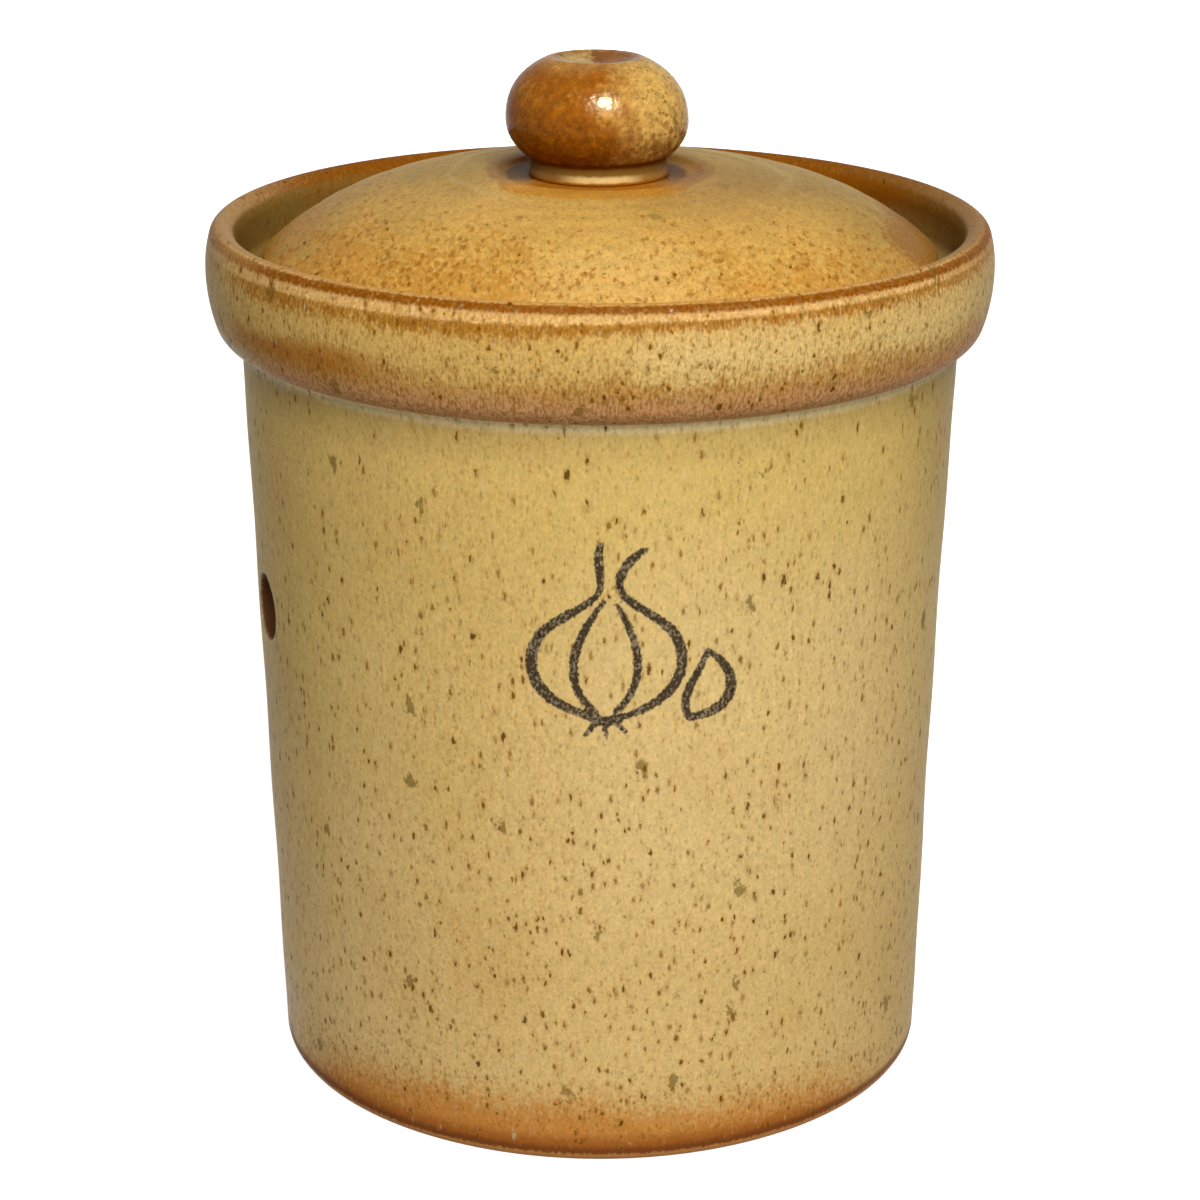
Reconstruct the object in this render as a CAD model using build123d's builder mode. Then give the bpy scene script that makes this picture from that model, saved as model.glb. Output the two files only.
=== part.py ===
from build123d import *
import math
import os

# A garlic keeper of glazed stoneware: a thrown jar with a heavy rolled collar and two vent
# holes, a domed lid that drops into a gallery inside the collar, and a round knob luted to
# the lid. Z runs up the axis of the jar, the foot stands on Z = 0, and the vent holes look
# along X. Millimetres.

# ---- jar: wall and foot ----
jar_height = 140.8          # top of the lip above the table
foot_radius = 54.2          # outside of the wall just above the foot
wall_top_radius = 57.7      # outside of the wall where it runs into the collar
wall = 5.0                  # thickness of the thrown wall
floor_thickness = 7.0
floor_corner = 6.0          # radius between floor and wall, inside
foot_edge = 1.5             # rounding of the unglazed edge of the foot
foot_ring_width = 9.0       # flat ring that stands on the table
foot_recess = 0.9           # how far the clay inside that ring is cut up

# ---- jar: collar and gallery ----
collar_overhang = 5.3       # how far the collar stands proud of the wall
collar_height = 18.6        # from the crease under the collar to the top of the lip
collar_belly_drop = 6.4     # widest part of the collar below the top of the lip
collar_corner_rise = 2.9    # rounded lower corner: rise above the crease
collar_corner_inset = 1.3   # the same corner: inset from the widest part
lip_round_drop = 1.6        # rounded upper corner: drop below the top of the lip
lip_round_inset = 0.8       # the same corner: inset from the widest part
lip_crest_inset = 2.5       # the highest ring of the lip, inset from the widest part
lip_width = 5.0             # thickness of the collar at the lip
lip_fall = 0.7              # the lip slopes down by this to its inner edge
lip_inner_edge = 0.8
gallery_depth = 9.3         # the ledge that carries the lid, below the top of the lip
ledge_width = 8.0           # width of that ledge
ledge_thickness = 5.0
ledge_slope = 9.0           # height over which the ledge runs back into the wall
ledge_edge = 1.0
gallery_corner = 1.5        # radius between the ledge and the collar

# ---- jar: vent holes ----
vent_height = 80.0
vent_radius = 5.3
vent_edge = 0.8             # softened rim of each hole

# ---- lid ----
lid_gap = 4.0               # between the lid's rim and the collar
lid_wall = 5.0
rim_thickness = 3.7         # height of the rim's edge
rim_upper_edge = 1.5
rim_lower_edge = 0.8
dome_rise = 12.8            # crown above the top of the rim
shoulder_radius = 35.0      # where the flat curve of the crown turns down to the rim
shoulder_drop = 2.3         # how far the dome has fallen there
flange_clearance = 1.8      # between the locating flange and the mouth
flange_width = 4.0
flange_depth = 7.0          # the flange below the ledge
flange_edge = 1.2

# ---- knob ----
knob_radius = 14.55
knob_upper = 11.4           # half height of the ball above its widest ring
knob_lower = 8.75           # half height below it
neck_undercut = 3.75        # the neck's radius is smaller than the ball's by this
neck_height = 3.0
neck_flare = 0.5            # the neck's foot is wider than the neck by this
moat_width = 5.2            # trimmed moat between the neck's foot and the ring round it
moat_depth = 0.7
dimple_radius = 6.9
dimple_depth = 1.7
dimple_edge = 1.0

# ---- sizes that follow ----
collar_radius = wall_top_radius + collar_overhang
crease_height = jar_height - collar_height
gallery_radius = collar_radius - lip_width
mouth_radius = gallery_radius - ledge_width
ledge_height = jar_height - gallery_depth
foot_ring_inner = foot_radius - foot_ring_width

rim_radius = gallery_radius - lid_gap
rim_top = ledge_height + rim_thickness
crown_height = rim_top + dome_rise
flange_radius = mouth_radius - flange_clearance
flange_inner = flange_radius - flange_width
flange_bottom = ledge_height - flange_depth

neck_radius = knob_radius - neck_undercut
neck_foot_radius = neck_radius + neck_flare
moat_radius = neck_foot_radius + moat_width
seat_height = crown_height - moat_depth
neck_top = seat_height + neck_height
underside_height = crown_height - lid_wall


def ring(piece, radius, height):
    """The circular edge of a turned piece that lies nearest to this radius and height."""
    circles = piece.edges().filter_by(GeomType.CIRCLE)
    return circles.sort_by(lambda edge: abs(edge.radius - radius) + abs(edge.center().Z - height))[0]


def half_height_at(radius, half_width, half_height):
    """How far an ellipse of these half axes stands from its middle at a radius."""
    return half_height * math.sqrt(1 - (radius / half_width) ** 2)


# ---- jar ----
# One closed section is turned round Z. The outside goes up the straight wall, round the
# collar in four arcs that run into each other, and over the lip. The inside comes down to
# the gallery, whose ledge is the lid's seat, and back under the ledge into the wall.
with BuildPart() as jar:
    with BuildSketch(Plane.XZ):
        with BuildLine():
            wall_line = Line((foot_radius, 0), (wall_top_radius, crease_height))
            under_collar = TangentArc(
                wall_line @ 1,
                (collar_radius - collar_corner_inset, crease_height + collar_corner_rise),
                tangent=(1, 0),
            )
            collar_face = TangentArc(
                under_collar @ 1,
                (collar_radius, jar_height - collar_belly_drop),
                tangent=under_collar % 1,
            )
            collar_shoulder = TangentArc(
                collar_face @ 1,
                (collar_radius - lip_round_inset, jar_height - lip_round_drop),
                tangent=collar_face % 1,
            )
            lip_round = TangentArc(
                collar_shoulder @ 1,
                (collar_radius - lip_crest_inset, jar_height),
                tangent=collar_shoulder % 1,
            )
            Polyline(
                lip_round @ 1,
                (gallery_radius, jar_height - lip_fall),
                (gallery_radius, ledge_height),
                (mouth_radius, ledge_height),
                (mouth_radius, ledge_height - ledge_thickness),
                (wall_top_radius - wall, ledge_height - ledge_thickness - ledge_slope),
                (foot_radius - wall, floor_thickness),
                (0, floor_thickness),
                (0, foot_recess),
                (foot_ring_inner - foot_recess, foot_recess),
                (foot_ring_inner, 0),
                wall_line @ 0,
            )
        make_face()
    revolve(axis=Axis.Z)
    fillet(ring(jar, foot_radius, 0), radius=foot_edge)
    fillet(ring(jar, foot_radius - wall, floor_thickness), radius=floor_corner)
    fillet(ring(jar, gallery_radius, jar_height - lip_fall), radius=lip_inner_edge)
    fillet(ring(jar, gallery_radius, ledge_height), radius=gallery_corner)
    chamfer(ring(jar, mouth_radius, ledge_height), length=ledge_edge)
    # One straight bore through both walls makes the pair of vent holes.
    with BuildSketch(Plane.YZ):
        with Locations((0, vent_height)):
            Circle(vent_radius)
    extrude(amount=collar_radius, both=True, mode=Mode.SUBTRACT)
    vent_rims = jar.edges().filter_by(
        lambda edge: edge.length < 3 * math.pi * vent_radius
        and abs(edge.center().Z - vent_height) < vent_radius
        and abs(edge.center().X) > foot_radius - wall / 2
    )
    fillet(vent_rims, radius=vent_edge)
jar.part.label = "jar"

# ---- lid ----
# The section runs from the crown down two arcs to the rim, in under the rim to the locating
# flange, and back along the hollow underside, which keeps the same wall.
with BuildPart() as lid:
    with BuildSketch(Plane.XZ):
        with BuildLine():
            crown_curve = TangentArc(
                (moat_radius, crown_height),
                (shoulder_radius, crown_height - shoulder_drop),
                tangent=(1, 0),
            )
            shoulder_curve = TangentArc(
                crown_curve @ 1,
                (rim_radius, rim_top),
                tangent=crown_curve % 1,
            )
            hollow_crown = TangentArc(
                (moat_radius, underside_height),
                (shoulder_radius, underside_height - shoulder_drop),
                tangent=(1, 0),
            )
            hollow_shoulder = TangentArc(
                hollow_crown @ 1,
                (flange_inner, rim_top),
                tangent=hollow_crown % 1,
            )
            Polyline(
                shoulder_curve @ 1,
                (rim_radius, ledge_height),
                (flange_radius, ledge_height),
                (flange_radius, flange_bottom),
                (flange_inner, flange_bottom),
                hollow_shoulder @ 1,
            )
            Polyline(
                hollow_crown @ 0,
                (0, underside_height),
                (0, seat_height),
                (moat_radius - moat_depth, seat_height),
                crown_curve @ 0,
            )
        make_face()
    revolve(axis=Axis.Z)
    fillet(ring(lid, rim_radius, rim_top), radius=rim_upper_edge)
    chamfer(ring(lid, rim_radius, ledge_height), length=rim_lower_edge)
    chamfer(ring(lid, flange_radius, flange_bottom), length=flange_edge)
    chamfer(ring(lid, flange_inner, flange_bottom), length=flange_edge)
lid.part.label = "lid"

# ---- knob ----
# A flattened ball with a thumbed dimple on top. Its flared neck stands on the floor of the
# moat that is trimmed into the lid's crown.
belly_height = neck_top + half_height_at(neck_radius, knob_radius, knob_lower)
dimple_rim = belly_height + half_height_at(dimple_radius, knob_radius, knob_upper)
neck_turn = math.degrees(math.acos(neck_radius / knob_radius))
dimple_turn = math.degrees(math.acos(dimple_radius / knob_radius))
with BuildPart() as knob:
    with BuildSketch(Plane.XZ):
        with BuildLine():
            neck_curve = TangentArc(
                (neck_radius, neck_top),
                (neck_foot_radius, seat_height),
                tangent=(0, -1),
            )
            lower_ball = EllipticalCenterArc(
                (0, belly_height), knob_radius, knob_lower, -neck_turn, arc_size=neck_turn
            )
            upper_ball = EllipticalCenterArc(
                (0, belly_height), knob_radius, knob_upper, 0, arc_size=dimple_turn
            )
            dimple = TangentArc(
                (0, dimple_rim - dimple_depth),
                (dimple_radius, dimple_rim),
                tangent=(1, 0),
            )
            Polyline(neck_curve @ 1, (0, seat_height), dimple @ 0)
        make_face()
    revolve(axis=Axis.Z)
    fillet(ring(knob, dimple_radius, dimple_rim), radius=dimple_edge)
knob.part.label = "knob"

os.makedirs("parts", exist_ok=True)
for piece in (jar, lid, knob):
    export_step(piece.part, f"parts/{piece.part.label}.step")
    print(piece.part.label, piece.part.bounding_box().size)
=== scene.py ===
# %% [markdown]
# # A stoneware garlic keeper
#
# The real thing is three pieces of fired clay: a thrown jar with a heavy collar and two vent
# holes, a domed lid that sits on a ledge inside the collar, and a ball knob stuck to the lid.
# The frame already holds the three at their true size. What is added here is what the potter's
# hands and the kiln add: clay that is not quite even, a straw-coloured glaze that breaks to rust
# on every edge, iron specks, bare clay where the pieces would have stuck together, and a brush
# drawing.

import bmesh
import bpy
import numpy as np
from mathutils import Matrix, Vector


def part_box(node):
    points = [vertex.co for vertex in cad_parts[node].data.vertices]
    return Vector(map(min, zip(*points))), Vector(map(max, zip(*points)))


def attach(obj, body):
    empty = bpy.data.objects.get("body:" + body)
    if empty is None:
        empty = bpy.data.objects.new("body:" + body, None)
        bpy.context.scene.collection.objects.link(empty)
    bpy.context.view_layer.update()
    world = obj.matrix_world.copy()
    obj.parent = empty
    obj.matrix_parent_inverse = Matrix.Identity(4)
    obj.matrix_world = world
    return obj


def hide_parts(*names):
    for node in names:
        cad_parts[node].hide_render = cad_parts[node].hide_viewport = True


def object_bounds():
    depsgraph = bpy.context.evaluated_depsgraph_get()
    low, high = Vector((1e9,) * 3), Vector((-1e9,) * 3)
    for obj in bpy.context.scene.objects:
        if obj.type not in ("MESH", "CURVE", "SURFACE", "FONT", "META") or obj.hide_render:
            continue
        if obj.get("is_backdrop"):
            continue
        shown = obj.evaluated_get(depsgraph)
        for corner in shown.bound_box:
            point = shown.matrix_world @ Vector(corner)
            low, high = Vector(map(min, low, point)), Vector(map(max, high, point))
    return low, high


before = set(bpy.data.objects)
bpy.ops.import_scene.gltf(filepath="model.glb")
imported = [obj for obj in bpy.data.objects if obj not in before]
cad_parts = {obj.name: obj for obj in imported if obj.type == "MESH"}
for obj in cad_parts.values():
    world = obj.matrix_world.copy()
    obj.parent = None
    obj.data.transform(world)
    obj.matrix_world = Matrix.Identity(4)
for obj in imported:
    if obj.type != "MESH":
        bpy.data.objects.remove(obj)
cad_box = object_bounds()

# %% [markdown]
# Everything below is worked out in millimetres, because that is how a potter would measure it,
# and turned into metres only where a mesh is made. The big sizes are read from the frame, so
# that a new surface can't drift away from the piece that it stands for.

# %% Sizes from the frame
MM = 0.001
HAIR = 0.02  # new surfaces stay this far inside the frame's own


def corners(node):
    """A node's lowest and highest corner, in millimetres."""
    return [np.array(corner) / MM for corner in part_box(node)]


_, jar_high = corners("jar")
lid_low, lid_high = corners("lid")
knob_low, knob_high = corners("knob")

lip_top = jar_high[2] - HAIR
collar_radius = jar_high[0] - HAIR
rim_radius = lid_high[0] - HAIR
flange_bottom = lid_low[2] + HAIR
crown_height = lid_high[2] - HAIR
knob_radius = knob_high[0] - HAIR
knob_seat = knob_low[2]
knob_top = knob_high[2] - HAIR
print(f"collar {collar_radius:.1f}, lip {lip_top:.1f}, rim {rim_radius:.1f}, crown {crown_height:.1f} mm")

# %% [markdown]
# ## Outlines
#
# A pot is its outline, turned. Blender could spin a bezier curve with a Screw modifier, but an
# outline that is worked out as an array can be asked questions: how far along it a ring lies,
# how high the ledge is, where a hole cuts it. So the outlines are arrays of (radius, height)
# points, made of arcs that run into each other, as a rib held against the clay makes them.


# %% Arcs and straight runs
def arc(start, end, heading, count=24):
    """The circle that leaves start along heading and meets end.

    With the chord c, the heading h and its normal n, the radius is c.c / (2 c.n) and the turn
    is twice the angle between h and c. A point at turn t is start + radius (sin t h + (1 - cos t) n).
    """
    chord = np.subtract(end, start)
    heading = np.array(heading) / np.hypot(*heading)
    normal = np.array([-heading[1], heading[0]])
    turn = 2 * np.arctan2(chord @ normal, chord @ heading)
    radius = chord @ chord / (2 * chord @ normal)
    turns = np.linspace(0, turn, count)[:, None]
    points = start + radius * (np.sin(turns) * heading + (1 - np.cos(turns)) * normal)
    return points, np.cos(turn) * heading + np.sin(turn) * normal


def flowing(start, heading, ends):
    """Arcs one after the other, each leaving where the last one ends and the way it was going."""
    points = [np.array([start], float)]
    for end in ends:
        stretch, heading = arc(points[-1][-1], end, heading)
        points.append(stretch[1:])
    return np.concatenate(points)


def eased(corners, radii):
    """A bent line with rounded inner corners.

    Each arc starts radius x tan(half the turn) before its corner.
    """
    corners = np.array(corners, float)
    points = [corners[:1]]
    for before, corner, after, radius in zip(corners, corners[1:], corners[2:], radii):
        way_in = (corner - before) / np.hypot(*(corner - before))
        way_out = (after - corner) / np.hypot(*(after - corner))
        if radius:
            reach = radius * np.tan(np.arccos(np.clip(way_in @ way_out, -1, 1)) / 2)
            points.append(arc(corner - reach * way_in, corner + reach * way_out, way_in, 12)[0])
        else:
            points.append(corner[None])
    return np.concatenate([*points, corners[-1:]])


def travel_along(points):
    """How far along a path each of its points lies."""
    return np.concatenate([[0], np.cumsum(np.hypot(*np.diff(points, axis=0).T))])


def paced(points, step):
    """The same path in even steps of about this length, found by the distance walked."""
    travel = travel_along(points)
    marks = np.linspace(0, travel[-1], max(1, round(travel[-1] / step)) + 1)
    return np.column_stack([np.interp(marks, travel, points[:, axis]) for axis in (0, 1)])


def bridged(first, second, reach):
    """Cuts both paths back by reach and joins them by (1-t)^2 a + 2 (1-t) t c + t^2 b.

    The point c is where the two paths would meet if they went on straight.
    """
    first = first[travel_along(first) < travel_along(first)[-1] - reach]
    second = second[travel_along(second) > reach]
    way_in, way_out = first[-1] - first[-2], second[1] - second[0]
    ahead = np.linalg.solve(np.column_stack([way_in, -way_out]), second[0] - first[-1])[0]
    middle = first[-1] + ahead * way_in
    t = np.linspace(0, 1, 12)[1:-1, None]
    bridge = (1 - t) ** 2 * first[-1] + 2 * (1 - t) * t * middle + t**2 * second[0]
    return np.concatenate([first, bridge, second])


# %% [markdown]
# ## The jar's outline
#
# It starts under the middle of the pot, goes out over the turned foot, up the wall, round the
# collar and over the lip, and comes back down inside: the gallery wall, the ledge that carries
# the lid, the inner wall and the floor. The steps are short where the eye goes (collar, lip and
# drawing) and long where nothing happens. The stretches of wall that the vent holes cut are kept
# apart, with the same number of steps inside and outside, so that the two can be joined.

# %% Outline of the jar
foot_radius = 54.2
foot_recess = 0.9
foot_ring_inner = 45.2
flat_under_foot = 43.0  # radius up to which the clay under the foot is flat
wall = 5.0
wall_top_radius = 57.7
crease_height = lip_top - 18.6
collar_start = crease_height - 3.0  # from here up the steps are fine
floor_height = 7.0
floor_corner_top = 20.0
mouth_radius = 50.0
gallery_radius = collar_radius - 5.0
crest_radius = collar_radius - 2.5  # highest ring of the lip
ledge_height = lip_top - 9.3
ledge_bottom = ledge_height - 5.0
under_ledge = ledge_bottom - 9.0
slope_end = under_ledge - 4.0
vent_height = 80.3
vent_reach = 9.5  # half the height of the patch of wall round each hole
drawn_top = 107.5  # the brush drawing ends below this

FINE, SMALL, PLAIN, COARSE = 0.42, 0.5, 2.0, 3.0  # steps along the outline


def outer_radius(height):
    """Outside of the wall, a straight line from foot to crease."""
    return foot_radius + (wall_top_radius - foot_radius) * height / crease_height


def inner_radius(height):
    """Inside of the wall, a straight line from the floor to the slope under the ledge."""
    share = (height - floor_height) / (under_ledge - floor_height)
    return foot_radius - wall + (wall_top_radius - foot_radius) * share


def wall_run(radius_at, low, high, step):
    """A straight stretch of wall between two heights."""
    return paced(np.array([(radius_at(low), low), (radius_at(high), high)]), step)


vent_low, vent_high = vent_height - vent_reach, vent_height + vent_reach
foot_top = 8.0
wall_end = wall_run(outer_radius, collar_start, crease_height, 0.1)
collar = flowing(
    wall_end[-1],
    (1, 0),
    [
        (collar_radius - 1.3, crease_height + 2.9),  # rounded lower corner
        (collar_radius, lip_top - 6.4),  # widest ring
        (collar_radius - 0.8, lip_top - 1.6),  # rounded upper corner
        (crest_radius, lip_top),
    ],
)
collar = bridged(wall_end, paced(collar, 0.1), 1.0)
foot_ring = eased(
    [
        (flat_under_foot, foot_recess),
        (foot_ring_inner - foot_recess, foot_recess),
        (foot_ring_inner, 0),
        (foot_radius, 0),
        (outer_radius(foot_top), foot_top),
    ],
    [0.5, 0.5, 1.5],
)
lip_and_ledge = eased(
    [
        (crest_radius, lip_top),
        (crest_radius - 0.4, lip_top),
        (gallery_radius + 0.5, lip_top - 1.0),  # the lip falls inwards
        (gallery_radius, lip_top - 3.0),
        (gallery_radius, ledge_height),
        (mouth_radius, ledge_height),
        (mouth_radius, ledge_bottom),
        (mouth_radius + 0.8, ledge_bottom - 2.4),  # start of the slope to the wall
    ],
    [1.6, 1.6, 3.0, 1.5, 0.9, 1.2],
)
slope_corners = [(inner_radius(height), height) for height in (under_ledge, slope_end)]
back_to_wall = eased([lip_and_ledge[-1], *slope_corners], [3.0])
floor_corners = [(inner_radius(height), height) for height in (floor_corner_top, floor_height)]
floor_corner = eased([*floor_corners, (0, floor_height)], [6.0])
stretches = {
    "under the foot": paced(np.array([(0, foot_recess), (flat_under_foot, foot_recess)]), COARSE),
    "foot ring": paced(foot_ring, 1.2 * SMALL),
    "low wall": wall_run(outer_radius, foot_top, vent_low, PLAIN),
    "vent wall": wall_run(outer_radius, vent_low, vent_high, SMALL),
    "drawn wall": wall_run(outer_radius, vent_high, drawn_top, SMALL),
    "high wall": wall_run(outer_radius, drawn_top, collar_start, PLAIN),
    "collar": paced(collar, FINE),
    "lip and ledge": paced(lip_and_ledge, FINE),
    "back to the wall": paced(back_to_wall, PLAIN),
    "inner high wall": wall_run(inner_radius, slope_end, vent_high, PLAIN),
    "inner vent wall": wall_run(inner_radius, vent_high, vent_low, SMALL),
    "inner low wall": wall_run(inner_radius, vent_low, floor_corner_top, PLAIN),
    "floor": paced(floor_corner, COARSE / 2),
}


def joined(stretches):
    """All the stretches as one outline, and the ring at which each one starts."""
    points, starts = np.array([next(iter(stretches.values()))[0]]), {}
    for name, stretch in stretches.items():
        starts[name] = len(points) - 1
        points = np.concatenate([points, stretch[1:]])
    return points, starts


jar_outline, jar_ring = joined(stretches)
print("rings in the jar:", len(jar_outline), "starting at", jar_ring)

# %% [markdown]
# ## Turning an outline
#
# The outline is carried round the axis. The columns needn't be evenly spread: they stand close
# together where the drawing is, a little apart beside the vent holes, and wide apart elsewhere.
# The faces are found by number alone: each cell lies between two rings and two columns.


# %% Turned surfaces
def columns(spans):
    """The angles of the columns, from (start, end, step) in degrees."""
    runs = [np.arange(start, end - step / 2, step) for start, end, step in spans]
    return np.radians(np.concatenate(runs))


def turned(outline, angles):
    """Each outline point (radius, height) at each angle a is (radius cos a, radius sin a, height)."""
    radius, height = outline[:, :1], outline[:, 1:]
    return np.stack([radius * np.cos(angles), radius * np.sin(angles), height + 0 * angles], axis=-1)


def cells(rows, across):
    """The four corner numbers of every cell of a net that is closed round the axis."""
    here = np.arange(rows * across).reshape(rows, across)
    beside = np.roll(here, -1, axis=1)
    return np.stack([here[:-1], beside[:-1], beside[1:], here[1:]], axis=-1)


vent_span, drawn_span = 9.6, (-122.4, -84.0)
drawn_step, vent_step, wide_step = 0.6, 1.2, 2.4
jar_angles = columns(
    [
        (*drawn_span, drawn_step),
        (drawn_span[1], -vent_span, wide_step),
        (-vent_span, vent_span, vent_step),
        (vent_span, 180 - vent_span, wide_step),
        (180 - vent_span, 180 + vent_span, vent_step),
        (180 + vent_span, 360 + drawn_span[0], wide_step),
    ]
)
jar_net = turned(jar_outline, jar_angles)
jar_cells = cells(*jar_net.shape[:2])
print("net of the jar:", jar_net.shape)

# %% [markdown]
# ## Vent holes
#
# The holes are drilled through the wet wall with a twist drill and sponged round. A boolean
# would leave slivers and no smooth rim, so each hole is its own small surface instead: a window
# of cells is left out of the outer and the inner wall, and a sleeve of rings joins one window's
# edge to the other's. The rings first close in from the window to a circle, turn over the
# rounded rim, run through the clay and open out again on the inside.

# %% Vent holes
vent_radius = 5.15
outer_rim, inner_rim = 0.9, 0.5  # rounding of the hole outside and inside


def vent_window(angle):
    """Leaves out the cells round a hole, and gives the points on the two windows' edges."""
    around = np.degrees(jar_angles) - angle
    left, right = (np.argmin(abs(around - reach)) for reach in (-vent_span, vent_span))
    low, high = jar_ring["vent wall"], jar_ring["drawn wall"]
    side, top = np.arange(low, high), np.arange(left, right)
    rows = np.concatenate([0 * top + low, side, 0 * top + high, side[::-1] + 1])
    cols = np.concatenate([top, 0 * side + right, top[::-1] + 1, 0 * side + left])
    jar_cells[low:high, left:right] = -1
    inner_low = jar_ring["inner low wall"]
    jar_cells[inner_low - (high - low) : inner_low, left:right] = -1
    return jar_net[rows, cols], jar_net[inner_low - (rows - low), cols]


def vent_sleeve(angle, side):
    """Rings from the outer window to the inner one, with how deep in the hole each lies.

    A ring is given by how far it stands across and above the hole's axis. On a wall of radius
    R(height) a point lies at sqrt(R^2 - across^2) from the plane through the jar's axis. The
    rim turns through a quarter circle: radius vent_radius + rim (1 - sin t), depth rim (1 - cos t).
    """
    windows = vent_window(angle)
    outer_window, inner_window = (edge[:, 1:].T - [[0], [vent_height]] for edge in windows)
    around = np.arctan2(outer_window[1], outer_window[0])
    circle = np.stack([np.cos(around), np.sin(around)])
    closing = np.linspace(0, 1, 8)[:, None, None]
    bend = np.linspace(0, np.pi / 2, 7)[1:, None, None]
    through = np.linspace(0, 1, 8)[1:-1, None, None]

    def on(radius_at, place):
        return np.sqrt(radius_at(place[:, 1] + vent_height) ** 2 - place[:, 0] ** 2)

    def rim(size):
        return (vent_radius + size * (1 - np.sin(bend))) * circle, size * (1 - np.cos(bend[..., 0]))

    outside = outer_window + closing * ((vent_radius + outer_rim) * circle - outer_window)
    inside = inner_window + closing * ((vent_radius + inner_rim) * circle - inner_window)
    over, over_depth = rim(outer_rim)
    under, under_depth = rim(inner_rim)
    bore = vent_radius * circle + 0 * through
    bore_start = on(outer_radius, bore) - outer_rim
    bore_end = on(inner_radius, bore) + inner_rim
    places = np.concatenate([outside, over, bore, under[::-1], inside[::-1]])
    reach = np.concatenate(
        [
            on(outer_radius, outside),
            on(outer_radius, over) - over_depth,
            bore_start + through[..., 0] * (bore_end - bore_start),
            (on(inner_radius, under) + under_depth)[::-1],
            on(inner_radius, inside)[::-1],
        ]
    )
    turning_in, turning_out = np.sin(bend) + 0 * over, np.cos(bend) + 0 * under
    depth = np.concatenate([0 * outside, turning_in, 1 + 0 * bore, turning_out, 0 * inside])
    points = np.stack([side * reach, places[:, 0], places[:, 1] + vent_height], axis=-1)
    return points, depth[:, 0]


sleeves = [vent_sleeve(0, 1), vent_sleeve(180, -1)]
jar_cells = jar_cells[jar_cells[..., 0] >= 0]
print("each vent sleeve:", sleeves[0][0].shape)

# %% [markdown]
# ## Clay that isn't quite even
#
# A wheel-thrown wall swells and draws in a little and is never quite round, and it leans a
# hair to one side after it is cut off the wheel. The unevenness is far too broad for a bump map
# to fake at the outline, so it moves the points themselves. Near the ledge and the foot it fades
# out, so that the lid still sits down and the jar still stands.


# %% Unevenness
def smooth_step(value, start, end):
    """0 before start, 1 after end, and 3t^2 - 2t^3 between."""
    share = np.clip((value - start) / (end - start), 0, 1)
    return share * share * (3 - 2 * share)


lean_side = np.radians(162)  # the side to which the thrown pieces lean


def uneven_jar(points):
    """Moves points in or out by a spiral swell, a waist and a slight oval, and tips the lip."""
    x, y, height = points.T
    angle, radius = np.arctan2(y, x), np.maximum(np.hypot(x, y), 1e-6)
    on_wall = smooth_step(height, 4, 16) * smooth_step(height, crease_height, crease_height - 14)
    waist = 0.18 * smooth_step(height, 8, 50) * smooth_step(height, crease_height, 80)
    swell = 0.07 * np.sin(2 * np.pi * (height - 22) / 31 + angle) * on_wall
    oval = 0.1 * (np.cos(2 * angle + 0.8) - 1) * smooth_step(height, 10, 60)
    lean = waist * np.cos(angle - lean_side)
    share = smooth_step(radius, 25, 45) * (swell + oval - waist + lean) / radius
    tip = 0.15 * (np.cos(angle - lean_side) - 1) * smooth_step(height, lip_top - 2.5, lip_top)
    return np.column_stack([x * (1 + share), y * (1 + share), height + tip])


# %% [markdown]
# ## The drawing
#
# The front of the jar has a brush drawing in iron oxide under the glaze. It is a few strokes
# that swell and taper. Each is a cubic curve with a half width that follows a parabola. Every
# point of the mesh keeps its distance to the edge of the nearest stroke, and the glaze turns
# that number into ink later, with an edge as ragged and grainy as oxide on a damp pot. A number
# per point stays sharp where a picture would need thousands of pixels.

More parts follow.
